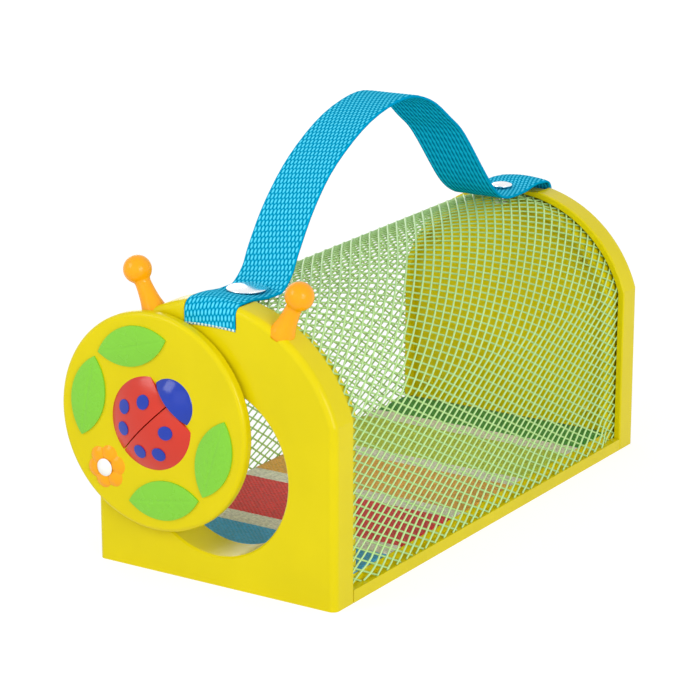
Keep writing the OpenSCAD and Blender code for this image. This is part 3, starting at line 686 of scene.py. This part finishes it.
def folded_end(rim_z):
    """The webbing's front end: it hangs down the panel's face and rolls over its upper edge."""
    run = [Vector((STRAP_FACE_Y, STRAP_END_Z))]
    for turn in range(180, 89, -STRAP_BEND_STEP):
        angle = math.radians(turn)
        run.append(Vector((STRAP_FACE_Y + STRAP_BEND_R + STRAP_BEND_R * math.cos(angle),
                           rim_z - STRAP_BEND_R + STRAP_BEND_R * math.sin(angle))))
    return run


def loop_twist(y):
    """How far the loop is turned about its own line at a place along the house."""
    share = (y / MM - LOOP_START) / (LOOP_END - LOOP_START)
    for (before, turn), (after, next_turn) in zip(TWISTS, TWISTS[1:]):
        if before < share <= after:
            return math.radians(turn + (next_turn - turn) * eased(share, before, after))
    return 0.0


def strap_path():
    """Middle line of the webbing in Y and Z, from its cut end in front to the one at the rear."""
    front = folded_end(STRAP_RIM_Z) + [Vector(p) for p in STRAP_SLOPE]
    rear = [Vector((-p.x, p.y)) for p in reversed(folded_end(STRAP_REAR_Z))]
    form = [Vector((LOOP_START + (LOOP_END - LOOP_START) * y, STRAP_SEAT_Z + LOOP_RISE * z)) for y, z in LOOP]
    rise = [Vector(p) for p in STRAP_REAR_RISE]
    ends = [Vector((-RIVET_Y, STRAP_SEAT_Z)), *form, *rise, rear[0]]
    return [p * MM for p in front + smooth_run(ends, LOOP_STEPS) + rear]


def even_run(points, step):
    """Points at even distances along a line, each with the direction square to it."""
    lengths = [0.0]
    for a, b in zip(points, points[1:]):
        lengths.append(lengths[-1] + (b - a).length)
    count = math.ceil(lengths[-1] / step)
    places = []
    k = 0
    for number in range(count + 1):
        reach = lengths[-1] * number / count
        while k < len(points) - 2 and lengths[k + 1] < reach:
            k += 1
        share = (reach - lengths[k]) / (lengths[k + 1] - lengths[k])
        places.append(points[k].lerp(points[k + 1], share))
    squares = []
    for number in range(count + 1):
        run = places[min(number + SQUARE_REACH, count)] - places[max(number - SQUARE_REACH, 0)]
        squares.append(Vector((-run.y, run.x)).normalized())
    return places, squares, lengths[-1]


def float_height(across, along):
    """Height of the weave, from 0 to 1, at a place in columns across and in floats along."""
    shifted = along - COLUMN_SHIFT * across
    row = math.floor(shifted)
    ridge = math.sin(math.pi * ((across + ROW_STAGGER * row) % 1))
    woven = ridge * (1 - FLOAT_DIP * (1 - math.sin(math.pi * (shifted - row))) ** 2)
    return woven * eased(min(across, STRAP_COLUMNS - across), 0, SELVAGE)


def arch_crown(across, y):
    """How far the webbing's middle stands above its edges, where it lies over a panel's arched rim."""
    rise = eased(abs(y), CROWN_START, CROWN_FULL) - HANGING_LOSS * eased(abs(y), BEND_START, BEND_END)
    return STRAP_CROWN * (1 - (2 * across) ** 2) * rise


def webbing_material(name, floats, stagger, dip_shade, shade_to_highlight):
    """Woven polypropylene with random fibre tone, a painted highlight on the floats' tops and painted shade
    in the dips between them, and pale yarn at its cut ends.
    """
    made, tree = new_material(name)
    place = add_node(tree, "UVMap", uv_map="weave").outputs[0]
    parts = add_node(tree, "SeparateXYZ", {0: place})
    across, along = parts.outputs["X"], parts.outputs["Y"]
    shifted = math_node(tree, "MULTIPLY_ADD", across, -COLUMN_SHIFT, along)
    row = math_node(tree, "FLOOR", shifted)
    in_row = math_node(tree, "FRACT", shifted)
    rise = math_node(tree, "SINE", math_node(tree, "MULTIPLY", in_row, math.pi))
    lift = math_node(tree, "POWER", rise, FLOAT_FULLNESS)
    column = math_node(tree, "MULTIPLY_ADD", row, stagger, across)
    in_column = math_node(tree, "FRACT", column)
    swell = math_node(tree, "SINE", math_node(tree, "MULTIPLY", in_column, math.pi))
    ridge = math_node(tree, "POWER", swell, RIDGE_SHARPNESS)
    step = add_node(tree, "MapRange", {"Value": lift, "To Min": 1 - dip_shade, "To Max": 1.0})
    top = math_node(tree, "MULTIPLY", ridge, step.outputs[0])
    yarn = add_node(tree, "Mapping", {"Vector": place, "Scale": FIBRE_STRETCH})
    fibres = add_node(tree, "TexNoise", {"Vector": yarn.outputs[0], "Scale": 1.0, "Detail": 3})
    mixed = math_node(tree, "MULTIPLY_ADD", fibres.outputs[0], FIBRE_SHARE, top)
    # Colour from the floats' relief: painted shade in the dips and a painted highlight on the tops, with
    # random fibre tone.
    colour = add_node(tree, "ValToRGB", {0: mixed})
    ramp = colour.color_ramp
    dip_shade_tone, middle, highlight_tone = shade_to_highlight
    ramp.elements[0].position = TONE_LOW
    ramp.elements[0].color = (*dip_shade_tone, 1)
    ramp.elements[1].position = 1.0
    ramp.elements[1].color = (*highlight_tone, 1)
    ramp.elements.new(TONE_MIDDLE).color = (*middle, 1)
    from_cut = math_node(tree, "MINIMUM", math_node(tree, "SUBTRACT", floats, along), along)
    at_cut = math_node(tree, "LESS_THAN", from_cut, CUT_YARN)
    pale = math_node(tree, "MULTIPLY", at_cut, ridge)
    from_side = math_node(tree, "MINIMUM", math_node(tree, "SUBTRACT", STRAP_COLUMNS, across), across)
    at_side = math_node(tree, "LESS_THAN", from_side, SELVAGE / 2)
    bound = add_node(tree, "Mix", {0: at_side, 6: colour.outputs[0], 7: (*middle, 1)}, data_type="RGBA")
    yarned = add_node(tree, "Mix", {0: pale, 6: bound.outputs[2], 7: CUT_COLOUR}, data_type="RGBA")
    bump = add_node(tree, "Bump", {"Height": mixed, "Strength": WEBBING_BUMP, "Distance": WEBBING_BUMP_DEPTH})
    shader = add_node(tree, "BsdfPrincipled", {"Base Color": yarned.outputs[2],
                                               "Roughness": WEBBING_ROUGHNESS,
                                               "Normal": bump.outputs[0], "Specular IOR Level": 0.0})
    add_node(tree, "OutputMaterial", {"Surface": shader.outputs[0]})
    return made


places, squares, strap_length = even_run(strap_path(), FLOAT_PITCH / ROWS_PER_FLOAT)
rows = len(places) - 1
bm = bmesh.new()
bmesh.ops.create_grid(bm, x_segments=STRAP_SEGMENTS, y_segments=rows, size=0.5)
weave_map = bm.loops.layers.uv.new("weave")
for face in bm.faces:
    for loop in face.loops:
        across, along = loop.vert.co.x + 0.5, loop.vert.co.y + 0.5
        loop[weave_map].uv = (across * STRAP_COLUMNS, along * strap_length / FLOAT_PITCH)
for corner in bm.verts:
    across, along = corner.co.x + 0.5, corner.co.y + 0.5
    row = round(along * rows)
    floats = along * strap_length / FLOAT_PITCH
    lift = STRAP_BODY / 2 + FLOAT_HEIGHT * float_height(across * STRAP_COLUMNS, floats)
    line = places[row] + squares[row] * lift
    side = corner.co.x * 2 * STRAP_HALF_W
    turn = loop_twist(places[row].x)
    crown = arch_crown(corner.co.x, places[row].x)
    corner.co = Vector((side * math.cos(turn), line.x + side * math.sin(turn), line.y + crown))
bmesh.ops.recalc_face_normals(bm, faces=bm.faces)
floats_along = strap_length / FLOAT_PITCH
blue_webbing = webbing_material("blue_webbing", floats_along, ROW_STAGGER, OUTER_DIP_SHADE, OUTER_BLUES_SHADE_TO_HIGHLIGHT)
handle_webbing = finished(bm, "handle_webbing", blue_webbing)
webbing_inside = webbing_material("webbing_inside", floats_along, 0, INNER_DIP_SHADE, INNER_BLUES_SHADE_TO_HIGHLIGHT)
handle_webbing.data.materials.append(webbing_inside)
thickness = handle_webbing.modifiers.new("webbing", "SOLIDIFY")
thickness.thickness = STRAP_BODY
thickness.offset = -1
thickness.material_offset = 1
thickness.material_offset_rim = 1
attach(handle_webbing, "house")
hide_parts("carry_strap")


# Rivets and washers
# Polished cap rivets through the webbing and the net, clinched on steel washers inside.
# Each is turned in one outline, in millimetres, from the clinched end to the top of the cap.
RIVET_STEPS = 40
RIVET_CREASE = math.radians(50)
RIVET_OUTLINE = ((0, 116.0), (0.9, 115.78), (2.2, 115.78), (2.6, 116.1), (2.4, 116.52), (1.5, 116.56),
                 (1.5, 120.4), (4.4, 120.45), (4.5, 120.55), (4.5, 121.3), (8.0, 121.2), (8.3, 121.22),
                 (8.48, 121.38), (8.5, 121.58), (8.4, 121.8), (8.1, 121.98), (7.2, 122.2), (6, 122.45),
                 (4.5, 122.68), (3, 122.84), (1.5, 122.93), (0, 122.96))
FRONT_CAP_R = 8.5
REAR_CAP_R = 5
RIVET_SHANK_TOP = 120
RIVETS = (("front_cap_rivet", "front_rivet", -RIVET_Y, FRONT_CAP_R, 0),
          ("rear_cap_rivet", "rear_rivet", RIVET_Y, REAR_CAP_R, STRAP_REAR_RISE[0][1] - STRAP_SEAT_Z))
rivet_metal = steel_material("rivet_metal", (0.90, 0.90, 0.92), roughness=0.2)
for rivet_name, rivet_node, y, cap_r, raised in RIVETS:
    bm = bmesh.new()
    outline = []
    for r, z in RIVET_OUTLINE:
        in_cap = z > RIVET_SHANK_TOP
        outline.append((r * MM * (cap_r / FRONT_CAP_R if in_cap else 1), (z + raised if in_cap else z) * MM))
    turned(bm, outline, RIVET_STEPS)
    bmesh.ops.translate(bm, verts=bm.verts, vec=(0, y * MM, 0))
    cap = finished(bm, rivet_name, rivet_metal)
    cap.data.set_sharp_from_angle(angle=RIVET_CREASE)
    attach(cap, "house")
    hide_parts(rivet_node)
dress("rivet_washers", screw_steel)


# Pegs
# Two ball-ended pegs in glossy orange plastic, leaning outwards, with their feet sunk into the front rim.
# Each is turned in one outline, in millimetres: a stem that flares into its foot and runs up into the ball.
ORANGE = (0.92, 0.37, 0.003)
PEG_X = 32.2 * MM
PEG_Y = -126.8 * MM
PEG_TILT = math.radians(27)
PEG_STEM = ((0, -2.8), (5.5, -2.8), (5.45, -1.5), (5.3, -0.4), (5.0, 0.6), (4.65, 1.8), (4.3, 3.2),
            (4.0, 4.8), (3.75, 6.6), (3.55, 8.4), (3.4, 10.2), (3.36, 11.2), (3.4, 11.8))
BALL_H = 17.3
BALL_R = 6
NECK_TURN = 37
BALL_STEPS = 24
PEG_STEPS = 64
peg_seat_z = ARCH_Z + math.sqrt(ARCH_R ** 2 - PEG_X ** 2)
orange_plastic = moulded_plastic("orange_plastic", ORANGE, roughness=0.22, gloss=0.25, peel=0.08)
peg_outline = list(PEG_STEM)
for k in range(BALL_STEPS + 1):
    turn = math.radians(NECK_TURN + (180 - NECK_TURN) * k / BALL_STEPS)
    peg_outline.append((BALL_R * math.sin(turn), BALL_H - BALL_R * math.cos(turn)))
peg_outline[-1] = (0, BALL_H + BALL_R)
for peg_name, peg_node, side in (("left_ball_peg", "left_peg", -1), ("right_ball_peg", "right_peg", 1)):
    bm = bmesh.new()
    turned(bm, [(r * MM, z * MM) for r, z in peg_outline], PEG_STEPS)
    lean = Matrix.Translation((side * PEG_X, PEG_Y, peg_seat_z)) @ Matrix.Rotation(side * PEG_TILT, 4, "Y")
    bmesh.ops.transform(bm, matrix=lean, verts=bm.verts)
    peg = finished(bm, peg_name, orange_plastic)
    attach(peg, "house")
    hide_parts(peg_node)


# Door
# A dished disc in yellow plastic that turns on a post above the doorway, held inside by a washer and a
# screw. It is moulded in the panels' yellow, with a rounded edge.
DOOR_OPEN = math.radians(46)
DOOR_Z = 56.4 * MM
pivot = Vector(frame["joints"][0]["pos_m"])
door_face_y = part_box("door_disc")[0].y
door_turn = Matrix.Translation(pivot) @ Matrix.Rotation(DOOR_OPEN, 4, "Y") @ Matrix.Translation(-pivot)
on_door = door_turn @ Matrix.Translation((0, door_face_y, DOOR_Z)) @ QUARTER_TURN
dress("door_disc", yellow_plastic)
dress("door_washer", screw_steel)
DOOR_SCREW_LENGTH = 7 * MM
door_screw_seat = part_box("door_washer")[1].y
door_screw_place = Matrix.Translation((0, door_screw_seat, pivot.z)) @ QUARTER_TURN
door_screw = pan_head_screw(DOOR_SCREW_LENGTH)
place_screws("pivot_screw", "door_screw", "door", door_screw, [door_screw_place], screw_steel)


# Leaves on the door
# Four pointed leaves in glossy green plastic, set in a wreath: each is crowned, with a groove along its
# middle and finer ones slanting from it.
LEAF_GREEN = (0.20, 0.58, 0.03)
LEAF_TURNS = (-34, 28, 152, 214)
LEAF_HALF_L = 18 * MM
LEAF_HALF_W = 8.5 * MM
LEAF_EDGE_H = 0.7 * MM
LEAF_CROWN = 0.9 * MM
WREATH_R = 33 * MM
MIDRIB_DEPTH = 0.3 * MM
MIDRIB_HALF_W = 0.5 * MM
VEIN_DEPTH = 0.16 * MM
VEIN_PITCH = 4.5 * MM
VEIN_SLOPE = 1.1
VEIN_SHARPNESS = 6
LEAF_STEPS_ACROSS = 32
LEAF_STEPS_ALONG = 64
PICTURE_CREASE = math.radians(40)
leaf_arc_r = (LEAF_HALF_L ** 2 + LEAF_HALF_W ** 2) / (2 * LEAF_HALF_W)


def leaf_point(across, along):
    """Point of a leaf's upper face from its shares across and along."""
    y = along * LEAF_HALF_L
    half = max(0.0, math.sqrt(leaf_arc_r ** 2 - y ** 2) - leaf_arc_r + LEAF_HALF_W)
    x = across * half
    fade = (1 - across ** 2) * half / LEAF_HALF_W
    rib = MIDRIB_DEPTH * math.exp(-(x / MIDRIB_HALF_W) ** 2)
    wave = math.cos(math.tau * (y - VEIN_SLOPE * abs(x)) / VEIN_PITCH)
    vein = VEIN_DEPTH * max(0.0, wave) ** VEIN_SHARPNESS
    return Vector((x, y, LEAF_EDGE_H + LEAF_CROWN * fade - fade * max(rib, vein)))


def close_below(bm, depth_z):
    """Walls from a sheet's edge down to a height, and a floor between them."""
    edge = [e for e in bm.edges if e.is_boundary]
    wall = bmesh.ops.extrude_edge_only(bm, edges=edge)
    for part in wall["geom"]:
        if isinstance(part, bmesh.types.BMVert):
            part.co.z = depth_z
    bmesh.ops.holes_fill(bm, edges=[e for e in bm.edges if e.is_boundary], sides=0)
    bmesh.ops.recalc_face_normals(bm, faces=bm.faces)


def add_shape(bm, shape, place):
    """Adds a shape at its place to others, as one mesh with them."""
    bmesh.ops.transform(shape, matrix=place, verts=shape.verts)
    single = bpy.data.meshes.new("single")
    shape.to_mesh(single)
    shape.free()
    bm.from_mesh(single)
    bpy.data.meshes.remove(single)


def on_the_door(bm, name, node, material):
    """Sets a shape on the door's face, as a piece that stands for its node."""
    bmesh.ops.transform(bm, matrix=on_door, verts=bm.verts)
    made = finished(bm, name, material)
    made.data.set_sharp_from_angle(angle=PICTURE_CREASE)
    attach(made, "door")
    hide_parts(node)


green_plastic = moulded_plastic("green_plastic", LEAF_GREEN, roughness=0.26, gloss=0.4, peel=0.08)
bm = bmesh.new()
for turn in LEAF_TURNS:
    leaf = bmesh.new()
    bmesh.ops.create_grid(leaf, x_segments=LEAF_STEPS_ACROSS, y_segments=LEAF_STEPS_ALONG, size=1)
    for corner in leaf.verts:
        corner.co = leaf_point(corner.co.x, corner.co.y)
    bmesh.ops.remove_doubles(leaf, verts=leaf.verts, dist=WELD)
    close_below(leaf, 0)
    add_shape(bm, leaf, Matrix.Rotation(math.radians(turn), 4, "Z") @ Matrix.Translation((WREATH_R, 0, 0)))
on_the_door(bm, "wreath_leaves", "leaf_wreath", green_plastic)


# Beetle on the door
# A ladybird in the wreath's middle: two domed red wing cases with a seam between them, a blue head
# and blue spots, each moulded in its own colour and set on the door.
BEETLE_R = 20 * MM
BEETLE_H = 5 * MM
HEAD_R = 11 * MM
HEAD_H = 4 * MM
NECK_Y = 14 * MM
SEAM = 0.6 * MM
DOME_RINGS = 16
DOME_STEPS = 72
DOME_EDGE = 0.35 * MM
RED = (0.60, 0.030, 0.012)
BLUE = (0.005, 0.035, 0.38)


def dome(radius, height):
    """A closed low dome on its flat base."""
    bm = bmesh.new()
    ball_r = (radius ** 2 + height ** 2) / (2 * height)
    reach = math.asin(radius / ball_r)
    outline = []
    for k in range(DOME_RINGS + 1):
        turn = reach * k / DOME_RINGS
        outline.append((ball_r * math.sin(turn), height - ball_r + ball_r * math.cos(turn)))
    turned(bm, [*outline, (0, outline[-1][1])], DOME_STEPS)
    return bm


def cut_off(bm, point, direction):
    """Takes away what lies past a plane, and closes the cut."""
    cut = bmesh.ops.bisect_plane(bm, geom=[*bm.verts, *bm.edges, *bm.faces], plane_co=point,
                                 plane_no=direction, clear_outer=True)
    edges = [part for part in cut["geom_cut"] if isinstance(part, bmesh.types.BMEdge)]
    bmesh.ops.holes_fill(bm, edges=edges, sides=0)
    bmesh.ops.recalc_face_normals(bm, faces=bm.faces)


def round_edges(bm, width):
    """Rounds the sharp edges of a shape."""
    bmesh.ops.remove_doubles(bm, verts=bm.verts, dist=WELD)
    sharp = [e for e in bm.edges if len(e.link_faces) == 2 and e.calc_face_angle() > PICTURE_CREASE]
    bmesh.ops.bevel(bm, geom=sharp, offset=width, offset_type="OFFSET", affect="EDGES", segments=2,
                    profile=0.5, material=-1, clamp_overlap=True)


red_plastic = moulded_plastic("red_plastic", RED, roughness=0.2, gloss=0.4, peel=0.06)
blue_plastic = moulded_plastic("blue_plastic", BLUE, roughness=0.18, gloss=0.4, peel=0.06)
for wing_name, wing_node, side in (("left_wing_case", "beetle_wing_left", -1),
                                   ("right_wing_case", "beetle_wing_right", 1)):
    bm = dome(BEETLE_R, BEETLE_H)
    cut_off(bm, (side * SEAM / 2, 0, 0), (-side, 0, 0))
    cut_off(bm, (0, NECK_Y, 0), (0, 1, 0))
    round_edges(bm, DOME_EDGE)
    on_the_door(bm, wing_name, wing_node, red_plastic)
bm = dome(HEAD_R, HEAD_H)
bmesh.ops.translate(bm, verts=bm.verts, vec=(0, NECK_Y, 0))
cut_off(bm, (0, NECK_Y + SEAM, 0), (0, -1, 0))
round_edges(bm, DOME_EDGE)
on_the_door(bm, "beetle_cap", "beetle_head", blue_plastic)
dress("beetle_spots", blue_plastic)


# Blossom on the door
# A six-petalled blossom at the wreath's foot, in the pegs' orange, with a white domed middle.
# The petals are crowned, and their solid's outline is kept.
PETAL_R = 4.2 * MM
PETAL_RING = 5.5 * MM
PETALS = 6
PETAL_H = 1.6 * MM
BLOSSOM_WHITE = (0.86, 0.86, 0.83)
bm = bmesh.new()
for k in range(PETALS):
    petal = dome(PETAL_R, PETAL_H)
    turn = Matrix.Rotation(math.tau * k / PETALS, 4, "Z")
    place = Matrix.Translation((0, -WREATH_R, 0)) @ turn @ Matrix.Translation((PETAL_RING, 0, 0))
    add_shape(bm, petal, place)
on_the_door(bm, "orange_petals", "blossom_petals", orange_plastic)
white_plastic = moulded_plastic("white_plastic", BLOSSOM_WHITE, roughness=0.25, gloss=0.4, peel=0.06)
dress("blossom_centre", white_plastic)
